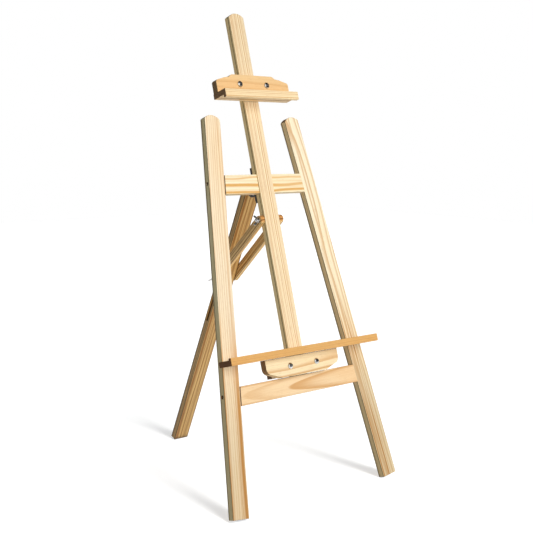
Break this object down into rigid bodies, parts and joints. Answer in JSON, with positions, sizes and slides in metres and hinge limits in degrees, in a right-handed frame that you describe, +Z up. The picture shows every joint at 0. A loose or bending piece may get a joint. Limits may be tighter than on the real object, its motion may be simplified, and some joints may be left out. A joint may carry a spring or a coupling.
{
  "type": "tripod field easel",
  "caption": "Folding tripod easel of pine boards: splayed front legs with crossbars, mast with sliding top clamp and sliding tray, hinged rear leg with side struts.",
  "frame": {"origin": "middle of the footprint, on the floor", "axes": "+Z up, -Y is the front that the canvas faces, +X to the right seen from the front"},
  "size_m": [0.6856, 0.7898, 1.4994],
  "materials": {
    "pine_leg": "bare planed pine, satin",
    "pine_bar": "bare planed pine, satin",
    "pine_mast": "bare planed pine, fine straight grain, satin",
    "pine_rear": "bare planed pine, warmer and darker, satin",
    "pine_block": "bare planed pine, satin",
    "pine_ledge": "bare planed pine, orange tinted, satin",
    "beech_dowel": "bare turned beech",
    "black_steel": "black enamel over pressed steel, semi-gloss",
    "zinc_steel": "bright zinc-plated steel"
  },
  "bodies": {
    "frame": {"left_front_leg": "pine_leg", "right_front_leg": "pine_leg", "upper_crossbar": "pine_bar", "lower_crossbar": "pine_bar", "mast": "pine_mast", "left_lower_screw": "zinc_steel", "left_upper_screw": "zinc_steel", "right_lower_screw": "zinc_steel", "right_upper_screw": "zinc_steel", "mast_foot_screw": "zinc_steel", "hinge_mast_plate": "black_steel", "plate_screw_1": "zinc_steel", "plate_screw_2": "zinc_steel", "plate_screw_3": "zinc_steel", "plate_screw_4": "zinc_steel", "hinge_pin": "zinc_steel", "strut_upper_bolt": "zinc_steel", "strut_upper_washer_left": "zinc_steel", "strut_upper_washer_right": "zinc_steel"},
    "rear_leg": {"rear_leg": "pine_rear", "hinge_leg_leaf": "black_steel", "leaf_screw_1": "zinc_steel", "leaf_screw_2": "zinc_steel", "leaf_screw_3": "zinc_steel"},
    "struts": {"left_strut": "pine_rear", "right_strut": "pine_rear", "strut_lower_bolt": "zinc_steel", "strut_lower_washer_left": "zinc_steel", "strut_lower_washer_right": "zinc_steel"},
    "top_clamp": {"top_clamp_board": "pine_block", "top_clamp_lip": "pine_block", "top_clamp_rear_block": "pine_block", "lip_left_dowel": "beech_dowel", "lip_right_dowel": "beech_dowel", "top_clamp_left_bolt": "zinc_steel", "top_clamp_right_bolt": "zinc_steel", "top_clamp_left_washer": "zinc_steel", "top_clamp_right_washer": "zinc_steel"},
    "tray": {"tray": "pine_ledge", "tray_front_block": "pine_block", "tray_rear_bar": "pine_block", "tray_left_screw": "zinc_steel", "tray_right_screw": "zinc_steel", "tray_left_bolt": "zinc_steel", "tray_right_bolt": "zinc_steel", "tray_left_washer": "zinc_steel", "tray_right_washer": "zinc_steel"},
    "strut_upper_nut": {"strut_upper_wing_nut": "zinc_steel"},
    "strut_lower_nut": {"strut_lower_wing_nut": "zinc_steel"},
    "top_clamp_left_nut": {"top_clamp_left_wing_nut": "zinc_steel"},
    "top_clamp_right_nut": {"top_clamp_right_wing_nut": "zinc_steel"},
    "tray_left_nut": {"tray_left_wing_nut": "zinc_steel"},
    "tray_right_nut": {"tray_right_wing_nut": "zinc_steel"}
  },
  "joints": [
    {"name": "rear_leg_fold", "type": "hinge", "parent": "frame", "child": "rear_leg", "pos_m": [0, -0.0724, 0.98278], "axis": [1, 0, 0], "range_deg": [-39.8, 0]},
    {"name": "strut_fold", "type": "hinge", "parent": "frame", "child": "struts", "pos_m": [0, -0.13002, 0.85348], "axis": [1, 0, 0], "range_deg": [-55.6, 0]},
    {"name": "top_clamp_slide", "type": "slide", "parent": "frame", "child": "top_clamp", "axis": [0, 0.2924, 0.9563], "range_m": [-0.2, 0.2]},
    {"name": "tray_slide", "type": "slide", "parent": "frame", "child": "tray", "axis": [0, 0.2924, 0.9563], "range_m": [-0.025, 0.4]},
    {"name": "strut_upper_nut_spin", "type": "hinge", "parent": "frame", "child": "strut_upper_nut", "pos_m": [0, -0.13002, 0.85348], "axis": [1, 0, 0], "continuous": true},
    {"name": "strut_lower_nut_spin", "type": "hinge", "parent": "struts", "child": "strut_lower_nut", "pos_m": [0, 0.09927, 0.64066], "axis": [1, 0, 0], "continuous": true},
    {"name": "top_clamp_left_nut_spin", "type": "hinge", "parent": "top_clamp", "child": "top_clamp_left_nut", "pos_m": [-0.054, 0.03146, 1.25167], "axis": [0, 0.9563, -0.2924], "continuous": true},
    {"name": "top_clamp_right_nut_spin", "type": "hinge", "parent": "top_clamp", "child": "top_clamp_right_nut", "pos_m": [0.054, 0.03146, 1.25167], "axis": [0, 0.9563, -0.2924], "continuous": true},
    {"name": "tray_left_nut_spin", "type": "hinge", "parent": "tray", "child": "tray_left_nut", "pos_m": [-0.0545, -0.23051, 0.39482], "axis": [0, 0.9563, -0.2924], "continuous": true},
    {"name": "tray_right_nut_spin", "type": "hinge", "parent": "tray", "child": "tray_right_nut", "pos_m": [0.0545, -0.23051, 0.39482], "axis": [0, 0.9563, -0.2924], "continuous": true}
  ],
  "couplings": [
    {"joint": "strut_fold", "follows": "rear_leg_fold", "ratio": 1.3955}
  ]
}
